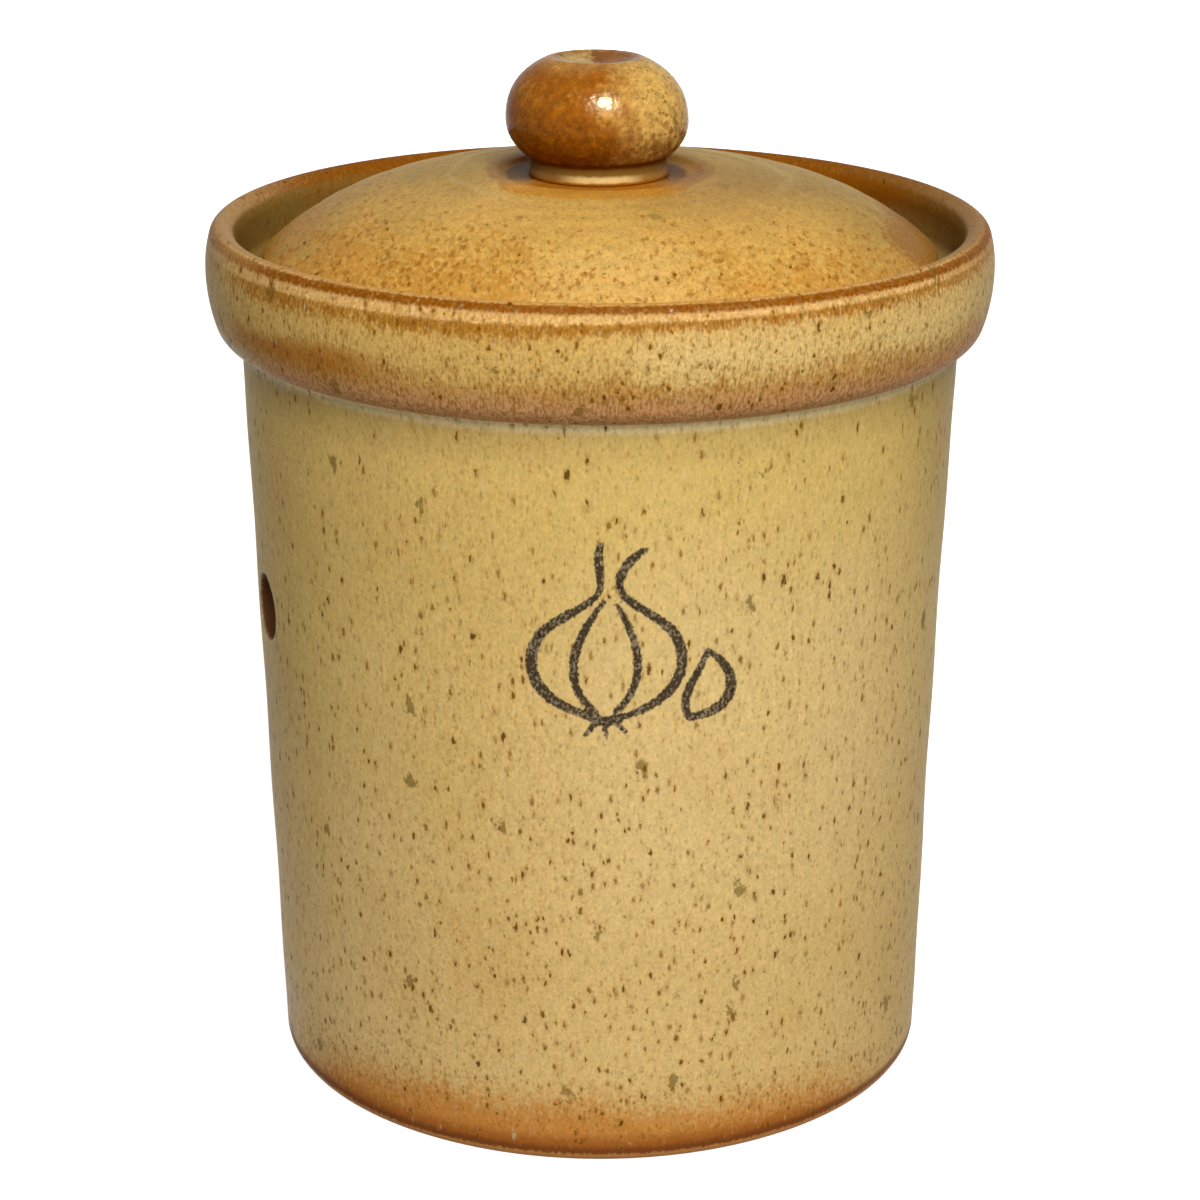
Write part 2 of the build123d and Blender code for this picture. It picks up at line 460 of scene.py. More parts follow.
# %% Strokes of a garlic bulb and a clove
# points (right, up) in millimetres, then half widths at the start, the middle and the end
strokes = {
    "left shoulder": ([(-1.4, 8.2), (-2.6, 4.4), (-11.0, 3.8), (-11.6, -2.8)], (0.45, 0.75, 0.9)),
    "left belly": ([(-11.6, -2.8), (-12.0, -8.2), (-7.6, -10.4), (-3.2, -12.0)], (0.9, 0.9, 0.55)),
    "right shoulder": ([(1.6, 8.4), (2.6, 4.8), (10.4, 3.8), (11.0, -2.6)], (0.5, 0.7, 0.85)),
    "right belly": ([(11.0, -2.6), (11.5, -8.0), (6.8, -10.6), (2.2, -12.2)], (0.85, 0.8, 0.45)),
    "left clove": ([(-0.7, 6.4), (-3.4, 2.8), (-8.8, -6.0), (-1.9, -11.4)], (0.35, 0.7, 0.5)),
    "right clove": ([(0.9, 6.2), (3.0, 2.6), (7.4, -5.6), (1.0, -11.4)], (0.3, 0.65, 0.5)),
    "left stalk": ([(-1.4, 8.2), (-1.0, 11.0), (-2.2, 13.0), (-1.2, 15.3)], (0.45, 0.7, 0.5)),
    "right stalk": ([(1.6, 8.4), (1.2, 11.0), (3.4, 13.4), (5.4, 14.4)], (0.5, 0.75, 0.35)),
    "base": ([(-3.4, -11.6), (-1.6, -13.1), (0.6, -13.2), (2.2, -12.0)], (0.6, 0.85, 0.5)),
    "left root": ([(-2.2, -12.8), (-2.5, -13.9), (-3.0, -14.6), (-3.6, -15.2)], (0.4, 0.4, 0.2)),
    "middle root": ([(-0.6, -13.2), (-0.6, -14.2), (-0.4, -14.9), (-0.2, -15.5)], (0.4, 0.4, 0.2)),
    "right root": ([(1.0, -12.8), (1.5, -13.7), (2.2, -14.3), (2.9, -14.8)], (0.4, 0.4, 0.2)),
    "clove back": ([(14.8, -2.2), (20.4, -5.6), (20.6, -12.6), (12.2, -12.8)], (0.35, 0.9, 0.6)),
    "clove belly": ([(14.8, -2.2), (14.2, -6.2), (10.2, -8.6), (12.2, -12.8)], (0.35, 0.7, 0.6)),
}
drawing_middle = (2.8, 0.0)  # of the strokes' own extent
drawing_height = 88.4
drawing_turn = np.radians(-103.6)
drawing_reach = (24, 19)  # no stroke goes farther to the side or up
far_from_ink = 3.0


def ink_distance(points):
    """Distance from each point to the edge of the nearest stroke, on the unrolled wall.

    A stroke runs along (1-t)^3 a + 3 (1-t)^2 t b + 3 (1-t) t^2 c + t^3 d, for t from 0 to 1.
    """
    x, y, height = points.T
    turn = (np.arctan2(y, x) - drawing_turn + np.pi) % (2 * np.pi) - np.pi
    right = turn * np.hypot(x, y) + drawing_middle[0]
    up = height - drawing_height + drawing_middle[1]
    distance = np.full(len(points), far_from_ink)
    near = (abs(right) < drawing_reach[0]) & (abs(up) < drawing_reach[1])
    near &= np.hypot(x, y) > inner_radius(height) + wall / 2  # outside of the wall only
    t = np.linspace(0, 1, 240)
    weights = np.stack([(1 - t) ** 3, 3 * (1 - t) ** 2 * t, 3 * (1 - t) * t**2, t**3], axis=-1)
    for controls, (start, middle, end) in strokes.values():
        line = weights @ np.array(controls)
        half = start * (1 - t) ** 2 + (4 * middle - start - end) * t * (1 - t) + end * t**2
        gap = np.hypot(right[near, None] - line[:, 0], up[near, None] - line[:, 1]) - half
        distance[near] = np.minimum(distance[near], gap.min(axis=1))
    return distance


# %% [markdown]
# ## From arrays to a piece
#
# One function turns points, cells and per-point numbers into an object. Doubled points at the
# poles and the windows' edges are merged, and only then are the normals worked out again, so
# that every face of the closed skin points away from the clay.


# %% Making a piece
def piece_of_clay(name, nets, node, body, marks={}):
    """Joins nets of points (mm) and their cells into one closed mesh that stands for a node.

    marks has one array of numbers per name, in the order of the points.
    """
    points = np.concatenate([net.reshape(-1, 3) for net, _ in nets])
    offsets = np.cumsum([0] + [net.size // 3 for net, _ in nets[:-1]])
    faces = np.concatenate([cell.reshape(-1, 4) + offset for (_, cell), offset in zip(nets, offsets)])
    mesh = bpy.data.meshes.new(name)
    mesh.from_pydata(points * MM, [], faces)
    for mark, values in marks.items():
        mesh.attributes.new(mark, "FLOAT", "POINT").data.foreach_set("value", values.astype(np.float32))
    skin = bmesh.new()
    skin.from_mesh(mesh)
    bmesh.ops.remove_doubles(skin, verts=skin.verts, dist=1e-3 * MM)
    bmesh.ops.recalc_face_normals(skin, faces=skin.faces)
    skin.to_mesh(mesh)
    open_edges = sum(not edge.is_manifold for edge in skin.edges)
    clay = skin.calc_volume(signed=True) / MM**3 / 1000
    skin.free()
    mesh.shade_smooth()
    piece = bpy.data.objects.new(name, mesh)
    bpy.context.scene.collection.objects.link(piece)
    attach(piece, body)
    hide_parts(node)
    mesh.calc_loop_triangles()
    print(f"{name}: {len(mesh.loop_triangles)} triangles, {open_edges} open edges, {clay:.1f} ml of clay")
    return piece


crest = np.argmax(jar_outline[:, 1])
jar_travel = travel_along(jar_outline)
jar_travel -= jar_travel[crest]
sleeve_travel = np.interp(sleeves[0][0][..., 2].ravel(), [0, lip_top], [jar_travel[0], 0])
jar_nets = [jar_net] + [sleeve for sleeve, _ in sleeves]
jar_points = uneven_jar(np.concatenate([net.reshape(-1, 3) for net in jar_nets]))
net_travel = np.repeat(jar_travel, jar_net.shape[1])
jar_marks = {
    "travel": np.concatenate([net_travel, sleeve_travel, sleeve_travel]),
    "bore": np.concatenate([np.zeros(len(net_travel))] + [depth.ravel() for _, depth in sleeves]),
    "ink": ink_distance(jar_points),
}
net_ends = np.cumsum([net.size // 3 for net in jar_nets])[:-1]
net_cells = [jar_cells] + [cells(*sleeve.shape[:2]) for sleeve, _ in sleeves]
jar = piece_of_clay(
    "glazed_jar",
    list(zip(np.split(jar_points, net_ends), net_cells)),
    node="jar",
    body="jar",
    marks=jar_marks,
)
ring_travel = {name: round(jar_travel[ring], 1) for name, ring in jar_ring.items()}
print("distance walked from the crest of the lip:", ring_travel)

# %% [markdown]
# ## The lid
#
# The lid is turned in the same way, but it is turned twice on the wheel: the dome is thrown, and
# then a moat is trimmed round the place where the knob is stuck on. Where two curves meet, a
# short curve that leaves one and joins the other takes the sharp corner off, because glaze
# never lies on a knife edge.

# %% Outline of the lid
moat_radius = 16.5
moat_depth = 0.7
moat_floor = crown_height - moat_depth
dome_start = (moat_radius + 2, crown_height - 0.02)
shoulder = (35.0, crown_height - 2.3)
rim_top = ledge_height + 3.7
flange_radius = mouth_radius - 1.8
flange_inner = flange_radius - 4.0
hollow_end = (flange_inner, rim_top - 4.0)
lid_wall = 5.0

moat_side = [(moat_radius - moat_depth, moat_floor), (moat_radius, crown_height)]
moat = eased([(11, moat_floor), *moat_side, dome_start], [0.6, 0.5])
dome = flowing(dome_start, (1, -0.02), [shoulder, (rim_radius, rim_top)])[1:]
top_of_lid = paced(np.concatenate([[(0, moat_floor)], moat, dome]), 0.1)
edge_of_lid = paced(
    eased(
        [
            (rim_radius, rim_top),
            (rim_radius, ledge_height),
            (flange_radius, ledge_height),
            (flange_radius, flange_bottom),
            (flange_inner, flange_bottom),
            hollow_end,
        ],
        [0.8, 0.4, 1.4, 1.4],
    ),
    0.1,
)
under_lid = paced(
    flowing(
        (moat_radius, crown_height - lid_wall),
        (1, 0),
        [(shoulder[0], shoulder[1] - lid_wall), hollow_end],
    ),
    0.1,
)[::-1]
lid_outline = bridged(bridged(top_of_lid, edge_of_lid, 0.7), under_lid, 1.0)
lid_outline = np.concatenate([lid_outline, [(0, crown_height - lid_wall)]])
lid_outline = paced(lid_outline, 0.55)
lid_net = turned(lid_outline, np.radians(np.arange(0, 360, 1.5)))
print("rings in the lid:", len(lid_outline))


def uneven_lid(points):
    """Lowers the dome by a fine spiral, where the rib left it, and lets two sides sag a little."""
    x, y, height = points.T
    angle, radius = np.arctan2(y, x), np.hypot(x, y)
    on_dome = smooth_step(radius, 19, 24) * smooth_step(radius, 52, 47)
    on_dome *= smooth_step(height, rim_top - 1, rim_top + 2)
    spiral = 0.05 * (np.sin(2 * np.pi * radius / 4.2 + angle) - 1)
    sag = 0.1 * (np.cos(2 * angle + 2.1) - 1)
    return np.column_stack([x, y, height + on_dome * (spiral + sag)])


lid = piece_of_clay(
    "glazed_lid",
    [(uneven_lid(lid_net.reshape(-1, 3)), cells(*lid_net.shape[:2]))],
    node="lid",
    body="lid",
)

# %% [markdown]
# ## The knob
#
# The knob is thrown off the hump as a ball on a neck, pressed flat on top by a thumb and stuck on
# with slip. A ball that has been squeezed is rounder than an ellipse at its corners, and a
# superellipse says just that: the power is a little over 2.

# %% Outline of the knob
neck_radius = knob_radius - 3.75
neck_height = 3.0
neck_flare = 0.5
dimple_radius, dimple_depth = 6.9, 1.7
belly_height = knob_seat + neck_height + 5.86
upper_half = knob_top - belly_height + 1.05
lower_half = 8.74


def squeezed(half_width, half_height, power, start, end):
    """Points where (x / half_width)^power + (y / half_height)^power = 1, from x = start to x = end."""
    turn = np.arccos(np.clip([start / half_width, end / half_width], 0, 1) ** (power / 2))
    turns = np.linspace(*turn, 80)
    return np.column_stack(
        [half_width * np.cos(turns) ** (2 / power), half_height * np.sin(turns) ** (2 / power)]
    )


lower_ball = squeezed(knob_radius, -lower_half, 2.11, neck_radius, knob_radius) + (0, belly_height)
upper_ball = squeezed(knob_radius, upper_half, 2.2, knob_radius, dimple_radius)[1:] + (0, belly_height)
neck_top = lower_ball[0]
neck = flowing(neck_top, (0.05, -1), [(neck_radius + neck_flare, knob_seat + HAIR)])[::-1]
dimple = flowing((0, upper_ball[-1][1] - dimple_depth), (1, 0), [upper_ball[-1]])[::-1]
foot_of_knob = np.array([(0, knob_seat + HAIR), (neck_radius + neck_flare, knob_seat + HAIR)])
ball = np.concatenate([lower_ball, upper_ball])
knob_outline = bridged(paced(neck, 0.05), paced(ball, 0.05), 0.5)
knob_outline = bridged(knob_outline, paced(dimple, 0.05), 1.0)
knob_outline = bridged(paced(foot_of_knob, 0.05), knob_outline, 0.25)
knob_outline[:, 1] = np.minimum(knob_outline[:, 1], knob_top)
knob_outline = paced(knob_outline, 0.3)
knob_net = turned(knob_outline, np.radians(np.arange(0, 360, 2)))


def leaning_knob(points):
    """Moves each point to one side by 0.15 mm and 3.5 hundredths of its height above the seat."""
    side = np.array([np.cos(lean_side), np.sin(lean_side)])
    return points + np.outer(0.15 + 0.035 * (points[:, 2] - knob_seat), [*side, 0])


knob = piece_of_clay(
    "glazed_knob",
    [(leaning_knob(knob_net.reshape(-1, 3)), cells(*knob_net.shape[:2]))],
    node="knob",
    body="lid",
)

# %% [markdown]
# ## A small language for glazes
#
# A glaze is a stack of thin layers, each with its own place and its own size of pattern. Built
# by hand, the jar's node tree would have more than five hundred nodes. So the nodes are wrapped:
# a Field is one node's output, arithmetic on fields adds Math nodes, and a Finish makes the
# fields that a glaze needs and lays one layer on the other. Every length is in millimetres and
# measured on the piece itself, from its Object coordinates.


# %% Fields
class Field:
    """A number or a colour that varies over a surface. Arithmetic on it adds Math nodes."""

    def __init__(self, socket):
        self.socket = socket

    def math(self, operation, *others):
        node = self.socket.id_data.nodes.new("ShaderNodeMath")
        node.operation = operation
        for place, value in zip(node.inputs, (self, *others)):
            plug(place, value)
        return Field(node.outputs[0])

    def __add__(self, other):
        return self.math("ADD", other)

    def __sub__(self, other):
        return self.math("SUBTRACT", other)

    def __mul__(self, other):
        return self.math("MULTIPLY", other)

    def __truediv__(self, other):
        return self.math("DIVIDE", other)

    def __rsub__(self, other):
        return self * -1 + other

    def over(self, other):
        return self.math("MAXIMUM", other)


def plug(place, value):
    """Links a field to a socket, or sets the socket to a plain value."""
    if isinstance(value, Field):
        place.id_data.links.new(value.socket, place)
    else:
        place.default_value = value


def fade(value, start, end):
    """0 before start, 1 after end, and 3t^2 - 2t^3 between. End may be the smaller."""
    node = value.socket.id_data.nodes.new("ShaderNodeMapRange")
    node.interpolation_type = "SMOOTHSTEP"
    for name, given in (("Value", value), ("From Min", start), ("From Max", end)):
        plug(node.inputs[name], given)
    return Field(node.outputs["Result"])


def band(value, low, high, edge):
    """1 between low and high, 0 outside, with soft edges."""
    return fade(value, low - edge, low + edge) * fade(value, high + edge, high - edge)


def paint(colour):
    """Red, green and blue as a screen shows them, 0 to 255, turned into amounts of light.

    A field is a colour already, and stays as it is.
    """
    if isinstance(colour, Field):
        return colour
    shares = np.array(colour) / 255
    light = np.where(shares <= 0.04045, shares / 12.92, ((shares + 0.055) / 1.055) ** 2.4)
    return (*light, 1.0)


# %% Finish of a piece
LEFT, RIGHT, FRONT, BACK = 162, -18, -108, 72  # sides of the pot, in degrees round it from X


def facing(degrees):
    """The arrow of length 1 that points this way, as x and y."""
    return float(np.cos(np.radians(degrees))), float(np.sin(np.radians(degrees)))


class Finish:
    """One material, with its position fields in millimetres.

    Where a glaze has run down a wall, run says how much: the patterns see a height of h - run h^2,
    so that they are drawn out more and more towards the crease under the collar. Where it has
    crept towards the front, creep is the share of that direction which the patterns don't see.
    """

    def __init__(self, name, run=0, creep=0):
        self.material = bpy.data.materials.new(name)
        self.material.use_nodes = True
        self.nodes = self.material.node_tree.nodes
        self.nodes.clear()
        self.place = self.times(self.make("ShaderNodeTexCoord")["Object"], 1 / MM)
        axes = self.make("ShaderNodeSeparateXYZ", {}, {0: self.place})
        self.x, self.y, self.height = axes["X"], axes["Y"], axes["Z"]
        self.radius = (self.x * self.x + self.y * self.y).math("SQRT").over(0.001)
        seen = {0: self.x, 1: self.y, 2: self.height}
        if run:
            on_wall = self.height.math("MINIMUM", crease_height)
            seen[2] = self.height - on_wall * on_wall * run
        if creep:
            forward = self.toward(FRONT) * self.radius * creep
            across, along = facing(FRONT)
            seen.update({0: self.x - forward * across, 1: self.y - forward * along})
        if run or creep:
            self.place = self.make("ShaderNodeCombineXYZ", {}, seen)[0]

    def make(self, kind, settings={}, inputs={}):
        """Adds a node and gives its outputs as fields, by name and by number."""
        node = self.nodes.new(kind)
        for name, value in settings.items():
            setattr(node, name, value)
        for name, value in inputs.items():
            plug(node.inputs[name], value)
        fields = {output.name: Field(output) for output in node.outputs if output.enabled}
        return {**fields, **dict(enumerate(fields.values()))}

    def toward(self, degrees):
        """1 on the side of the piece that faces this way, 0 square to it, -1 behind."""
        across, along = facing(degrees)
        return (self.x * across + self.y * along) / self.radius

    def spread(self, size, stretch, seed):
        """The position, with size millimetres to a unit, and size x stretch along z."""
        scale = np.array([1, 1, 1 / stretch]) / size
        inputs = {"Vector": self.place, "Location": seed * np.array([3.7, 5.3, 7.9]), "Scale": scale}
        return self.make("ShaderNodeMapping", {}, inputs)[0]

    def noise(self, size, stretch=1, detail=2, seed=0):
        """Smooth noise, mostly from -0.5 to 0.5, with hills about size millimetres apart."""
        inputs = {"Vector": self.spread(size, stretch, seed), "Scale": 1, "Detail": detail}
        return self.make("ShaderNodeTexNoise", {}, inputs)[0] * 2 - 1

    def spots(self, apart, size, share, stretch, seed, ragged):
        """How deep a point lies in a spot: 1 in its middle, 0 on its rim, less and less outside.

        There is a spot in each cell of a Voronoi pattern, for a share of the cells. The depth is
        1 - distance / radius, with some noise on the distance, so that the spots aren't round.
        """
        inputs = {"Vector": self.spread(apart, stretch, seed), "Scale": 1}
        cell = self.make("ShaderNodeTexVoronoi", {}, inputs)
        chance = self.make("ShaderNodeSeparateColor", {}, {0: cell["Color"]})
        radius = (chance[1] * 0.6 + 0.7) * (size / 2)
        rough = self.noise(size * 0.7, stretch, seed=seed + 1) * (ragged * size)
        away = cell["Distance"] * apart + rough
        left_out = fade(chance[0], share - 0.02, share + 0.02) * 9
        return 1 - left_out - away / radius

    def mark(self, name):
        return self.make("ShaderNodeAttribute", {"attribute_name": name})["Fac"]

    def mix(self, share, under, over):
        """The colour over, laid on the colour under, as thick as share says."""
        inputs = {0: share, 6: paint(under), 7: paint(over)}
        node = self.nodes.new("ShaderNodeMix")
        node.data_type = "RGBA"
        for place, value in inputs.items():
            plug(node.inputs[place], value)
        return Field(node.outputs[2])

    def layered(self, colour, *layers):
        """A colour under a stack of layers (share, colour), the first one lowest."""
        for share, over in layers:
            colour = self.mix(share, colour, over)
        return colour

    def times(self, three, amount):
        """A position, or a colour's light, multiplied by amount."""
        inputs = {0: three, "Scale": amount}
        return self.make("ShaderNodeVectorMath", {"operation": "SCALE"}, inputs)[0]

    def bump(self, relief):
        """A normal that follows relief in millimetres."""
        return self.make("ShaderNodeBump", {}, {"Height": relief, "Distance": MM, "Strength": 1})[0]

    def fire(self, piece, **inputs):
        """Closes the tree with the shader and puts the material on the piece."""
        shader = self.nodes.new("ShaderNodeBsdfPrincipled")
        for name, value in inputs.items():
            plug(shader.inputs[name.replace("_", " ")], value)
        output = self.nodes.new("ShaderNodeOutputMaterial")
        self.material.node_tree.links.new(shader.outputs[0], output.inputs[0])
        piece.data.materials.append(self.material)
        print(f"{self.material.name}: {len(self.nodes)} nodes")


# %% [markdown]
# ## Iron in the clay
#
# The clay holds grains of iron that bleed through the glaze. A grain is a ball somewhere in the
# clay, so its spot is a slice of a ball. A Voronoi pattern in space gives that by itself: spots
# of every size up to the ball's own, and only where a ball lies near the skin. On a wall the
# glaze runs while it melts, and the spots run with it, so there the pattern is stretched upwards.
#
# Where the glaze turns from straw to rust, it doesn't do so smoothly: it curdles into rusty
# patches that lie closer and closer. So a soft share becomes a broken one by adding a fine noise
# to it and keeping what comes out above a level.

# %% Iron spots and curdled glaze
def curdled(level, curds, soft=0.3):
    """A soft share, broken into patches: at a level of 0.5 about half of the surface is covered."""
    return fade(level + curds, 0.5 - soft, 0.5 + soft)


def peppered(glaze, colour, seed, stretch, crowd, dark_crowd, fleck, blotch):
    """Lays flecks, blotches, brown specks and dark ones on a colour.

    crowd and dark_crowd are the shares of cells with a speck; fleck and blotch say how strong
    the two faint kinds are. Each speck has a paler stain round it.
    """
    flecks = glaze.spots(0.8, 0.42, 0.85, stretch * 1.4, seed + 2, 0.9)
    blotches = glaze.spots(9.5, 1.9, 0.8, stretch, seed + 4, 0.9)
    specks = glaze.spots(1.4, 0.52, crowd, stretch * 1.5, seed + 6, 0.8)
    dark = glaze.spots(3.0, 0.68, dark_crowd, stretch * 1.4, seed + 8, 0.8)
    grit = glaze.noise(0.55, 1, 2, seed + 10)
    depth = fade(glaze.noise(3, 1, 1, seed + 11), -0.4, 0.4) * 0.55 + 0.45
    return glaze.layered(
        colour,
        (fade(flecks, -0.2, 0.7) * fleck, (146, 108, 34)),
        (fade(blotches + grit * 0.9, -0.3, 0.3) * blotch, (116, 88, 30)),
        (fade(specks.over(dark), -1.3, 0) * 0.24, (168, 114, 40)),
        (fade(specks, -0.1, 0.4) * depth, (120, 76, 8)),
        (fade(dark, -0.1, 0.4) * 0.9, (92, 54, 4)),
    )


def grainy(glaze, colour, seed, stretch, grain, mottle):
    """Fine grain, small flakes and faint runs, as light and dark shades of the same colour."""
    fine = glaze.noise(0.45, 1.1, 3, seed) * grain
    flakes = fade(glaze.noise(1.0, stretch, 4, seed + 2), -0.03, 0.09) * 0.05
    runs = glaze.noise(1.3, stretch, 3, seed + 1) * mottle
    return glaze.times(colour, fine + runs + flakes + 0.975)


# %% [markdown]
# ## The jar's glaze
#
# A straw-coloured glaze over a stoneware that holds iron. Where it lies thick it is olive, where
# it runs thin off an edge the iron comes through as rust, and where the kiln toasted the clay it
# goes brown. The bands on the collar follow the distance walked from the crest of the lip, so
# they stay on their edge whatever its shape. Every edge between two colours is broken up by two
# noises, one for drips and one for curds.

# %% Straw glaze on the wall and the foot
glaze = Finish("jar_straw_glaze", run=0.0012)
height, travel = glaze.height, glaze.mark("travel")
curds = glaze.noise(0.55, 1.2, 3, 21)
wall_drips = glaze.noise(0.9, 3.6, 3, 20)
clouds = glaze.noise(30, 1.2, 3, 0) + glaze.noise(9, 1.2, 2, 1) * 0.5

# A lighter patch on the front right of the wall: thicker glaze, with a painted pool of light where the
# lamp falls broadest.
thick_and_lit = fade(glaze.toward(FRONT + 25), 0.65, 1) * band(height + clouds * 8, 45, 98, 14)
# Darker at the right of the upper wall: painted shade where the wall turns away from the lamp.
shaded_right_wall = fade(glaze.toward(RIGHT), 0.78, 0.96) * fade(height, 80, 116)
# A darker band just under the collar: painted shadow of the collar.
collar_shadow_band = band(height + curds * 0.8, crease_height - 6.5, crease_height - 2, 1.5)
# Paler right at the crease: glaze pooled there, with painted light that lifts the crease out of the
# collar's shadow.
glaze_pool_and_light = fade(height + curds * 0.6, crease_height - 2.2, crease_height - 0.9)
# The next two marks make the left of the wall lighter towards the bottom: painted light, as if thrown up
# from the floor.
bounce_lit_left = fade(glaze.toward(LEFT), 0.45, 1) * fade(height + clouds * 10, 80, 10)
bounce_lit_low_left = fade(glaze.toward(LEFT - 12), 0.75, 0.97) * fade(height + wall_drips * 4, 22, 8)
flame_side = fade(glaze.toward(FRONT - 6), 0.28, 0.9)
flame_tongue = fade(glaze.toward(FRONT - 18), 0.92, 1) * 0.16
toast = (fade(height + clouds * 2.5, 16, 2.5) + flame_tongue) * flame_side
burnt = fade(height + curds, 7, 1.8) * (flame_side * 0.8 + 0.2)
colour = glaze.layered(
    (217, 184, 118),
    (fade(height + clouds * 40, 25, 115), (212, 180, 104)),
    (fade(clouds, 0.05, 0.6) * 0.5, (208, 166, 98)),
    # Darker towards the sides, away from the front: painted shade.
    (fade(glaze.toward(FRONT), 0.75, 0.1) * 0.4, (188, 156, 92)),
    (thick_and_lit * 0.4, (230, 200, 142)),
    (shaded_right_wall * 0.4, (150, 120, 62)),
    (collar_shadow_band * 0.3, (176, 148, 84)),
    (glaze_pool_and_light * 0.85, (244, 222, 166)),
    (bounce_lit_left * 0.6, (240, 206, 142)),
    (bounce_lit_low_left * 0.6, (244, 212, 180)),
    (curdled(toast, curds * 0.5 + wall_drips * 0.35, 0.46), (198, 134, 62)),
    (curdled(burnt, curds * 0.5, 0.45), (160, 92, 36)),
)

# %% Toast and rust on the collar
drips = glaze.noise(0.75, 3, 3, 22)
patches = glaze.noise(7, 1, 2, 23)
streaks = glaze.noise(0.4, 3.2, 3, 24)
far_left = fade(glaze.toward(LEFT), 0.76, 0.93)
hang = fade(glaze.toward(FRONT - 42), 0.6, 0.95)  # here the glaze hung down farthest

toast_line = travel + clouds * 4 + patches * 2 + glaze.toward(RIGHT) + hang
toast = fade(toast_line, -7.5, -16) * (1 - far_left * 0.7)
low = fade(travel + drips * 3, -13, -17.5) * (1 - far_left * 0.8)
smear_height = height + drips * 2 + patches * 2
smear = band(smear_height, crease_height + 4.5, crease_height + 8.5, 1.5)
smear = fade(glaze.toward(FRONT - 48), 0.94, 0.99) * smear
veil_and_under_shade = fade(travel, -9.5, -4.5) * (1 - far_left)
rust = fade(travel + hang * 1.5, -5.9, -3.4) * (patches * 0.7 + 0.95) * (1 - far_left * 0.6)
streaked = fade(streaks + rust.over(toast * 0.85) * 0.27, 0.16, 0.4)
# A pale line along the bead under the crest, at the front only: paler glaze with a painted highlight.
bead_end = -3.3 - hang * 0.5
bead_glaze_and_highlight = fade(travel + curds * 0.5, bead_end - 0.4, bead_end + 0.2)
bead_glaze_and_highlight = bead_glaze_and_highlight * fade(glaze.toward(FRONT), 0.1, 0.65)
crest_line = travel + curds * 0.5 + drips * 0.3 + fade(glaze.toward(FRONT), 1, 0.5) * 0.25
crest_rust = band(crest_line, -2.2, -0.6, 0.35) * (1 - far_left * 0.35)
collar_glaze = glaze.layered(
    (208, 170, 94),
    (fade(glaze.toward(RIGHT) + clouds, -0.4, 0.7), (218, 186, 118)),
    # Darker towards the sides, away from the front: painted shade.
    (fade(glaze.toward(FRONT), 0.55, 0.1) * 0.6, (164, 132, 76)),
    (curdled(toast, drips * 0.8 + curds * 0.8, 0.4) * 0.92, (192, 143, 74)),
    (low, (198, 146, 96)),
    (smear * 0.85, (172, 108, 30)),
    (veil_and_under_shade * 0.3, (196, 144, 66)),
    (curdled(rust, drips + curds, 0.42) * 0.85, (172, 110, 28)),
    (streaked * 0.5, (120, 70, 6)),
    (bead_glaze_and_highlight * (curds * 0.9 + drips * 0.6 + 0.75), (228, 182, 112)),
    (crest_rust * (curds * 0.5 + 0.95), (134, 72, 0)),
)
on_collar = fade(travel, -21.8, -21.2)
# A pale patch at the foot of the collar on the left: pale glaze, painted lighter where the collar's shade
# falls.
pale_and_lit_left = band(height + drips * 3, crease_height - 2, crease_height + 4, 2)
pale_and_lit_left = fade(glaze.toward(LEFT + 4), 0.8, 0.97) * pale_and_lit_left
colour = glaze.layered(
    colour,
    (on_collar, collar_glaze),
    (curdled(pale_and_lit_left * 0.9, drips), (212, 194, 154)),
)

# %% Lip and inside of the collar
lip = glaze.layered(
    (176, 136, 82),
    (fade(glaze.toward(BACK - 2) + curds * 0.3, 0.1, 0.6), (136, 78, 12)),
    (fade(glaze.toward(RIGHT), 0.6, 1) * 0.6, (138, 98, 48)),
    (fade(glaze.toward(FRONT), 0.45, 0.9) * 0.9, (206, 150, 72)),
)
low_right = fade(travel + curds, 5, 8.5) * fade(glaze.toward(RIGHT), 0.3, 0.8)
inside = glaze.layered(
    (132, 102, 46),
    (fade(glaze.toward(BACK - 15) + clouds * 0.4, 0.15, 0.75), (142, 80, 8)),
    (low_right * 0.6, (156, 130, 70)),
)
inside = glaze.mix(fade(travel + curds * 0.8, 2.2, 3.4), lip, inside)
colour = glaze.mix(fade(travel + curds * 0.5 + drips * 0.3, -0.75, -0.2), colour, inside)

# %% Spots, grain and bare clay
crowd = glaze.noise(12, 1, 2, 199) * 0.5 + fade(height, 115, 45) * 0.35 + 0.6 + on_collar * 0.4
fleck = fade(height, 18, 8) * 0.35 + on_collar * 0.1 + 0.4
colour = peppered(glaze, colour, 200, 1.2, crowd, crowd - 0.33, fleck, blotch=0.7)
colour = grainy(glaze, colour, 30, 1.7, grain=on_collar * 0.12 + 0.27, mottle=0.11)
bare_clay = (192, 164, 126)
bore = glaze.mark("bore")
foot_line = height + curds * 0.5 + drips * 0.3
colour = glaze.layered(
    colour,
    (fade(travel + curds * 0.5, 14.4, 15.2), bare_clay),  # the ledge, where the lid sits
    (fade(travel, 20.0, 22.0), (184, 148, 84)),
    (fade(bore, 0.0, 0.1) * 0.5, (214, 192, 150)),
    # Dark brown deep in each vent hole: painted shade inside the hole.
    (fade(bore + curds * 0.3, 0.25, 0.9) * 0.95, (84, 44, 18)),
    (fade(foot_line, 3.2, 2.0) * 0.85, (112, 62, 28)),
    (fade(foot_line, 1.7, 1.2), (186, 128, 70)),
)

